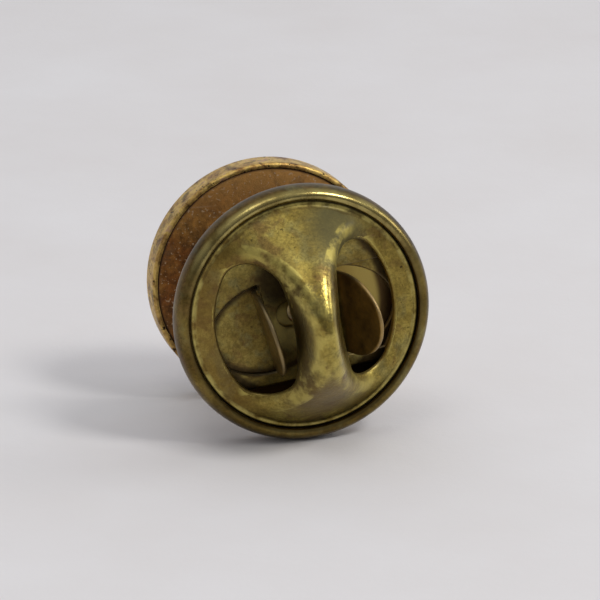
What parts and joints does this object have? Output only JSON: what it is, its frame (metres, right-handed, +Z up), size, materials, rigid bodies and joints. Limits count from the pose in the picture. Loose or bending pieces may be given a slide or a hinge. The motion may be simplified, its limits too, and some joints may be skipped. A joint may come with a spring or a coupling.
{
  "type": "enamel lapel pin",
  "caption": "Round enamel lapel pin with a copper back, a pointed post and a removable butterfly clutch whose two wings squeeze together to let go.",
  "frame": {"origin": "on the surface that the pin lies on, below the post's axis, at the middle of the pin's length", "axes": "+Y along the post from the badge to the clutch, so the enamelled front faces -Y; +Z up with the pin lying on its side"},
  "size_m": [0.0114, 0.0116, 0.0115],
  "materials": {
    "gilt_brass": "struck brass with worn gilding, satin, pitted on the edge",
    "copper": "tarnished copper, dull brown with fine bright specks",
    "aged_brass": "olive patina over brass, polished on the raised parts",
    "leaf_brass": "speckled tarnished spring brass",
    "post_metal": "drawn brass, lightly tarnished",
    "braze": "dull silver braze",
    "enamel_blue": "glossy vitreous enamel",
    "enamel_ivory": "glossy vitreous enamel",
    "enamel_red": "glossy vitreous enamel",
    "enamel_gold": "glossy vitreous enamel"
  },
  "bodies": {
    "badge": {"badge_shell": "gilt_brass", "enamel_border": "enamel_blue", "enamel_ground": "enamel_ivory", "enamel_petal_1": "enamel_red", "enamel_petal_2": "enamel_red", "enamel_petal_3": "enamel_red", "enamel_petal_4": "enamel_red", "enamel_petal_5": "enamel_red", "enamel_petal_6": "enamel_red", "enamel_heart": "enamel_gold", "back_plate": "copper", "post": "post_metal", "braze_fillet": "braze"},
    "clutch": {"clutch_base": "aged_brass", "clutch_cap": "aged_brass"},
    "upper_jaw": {"jaw_leaf_upper": "leaf_brass"},
    "lower_jaw": {"jaw_leaf_lower": "leaf_brass"}
  },
  "joints": [
    {"name": "clutch_pull", "type": "slide", "parent": "badge", "child": "clutch", "axis": [0, 1, 0], "range_m": [-0.0011, 0.009]},
    {"name": "squeeze_upper", "type": "slide", "parent": "clutch", "child": "upper_jaw", "axis": [-0.9877, 0, 0.1564], "range_m": [0, 0.00027], "stiffness_N_per_m": 1000, "springref_m": -0.0001},
    {"name": "squeeze_lower", "type": "slide", "parent": "clutch", "child": "lower_jaw", "axis": [0.9877, 0, -0.1564], "range_m": [0, 0.00027]}
  ],
  "couplings": [
    {"joint": "squeeze_lower", "follows": "squeeze_upper", "ratio": 1}
  ]
}
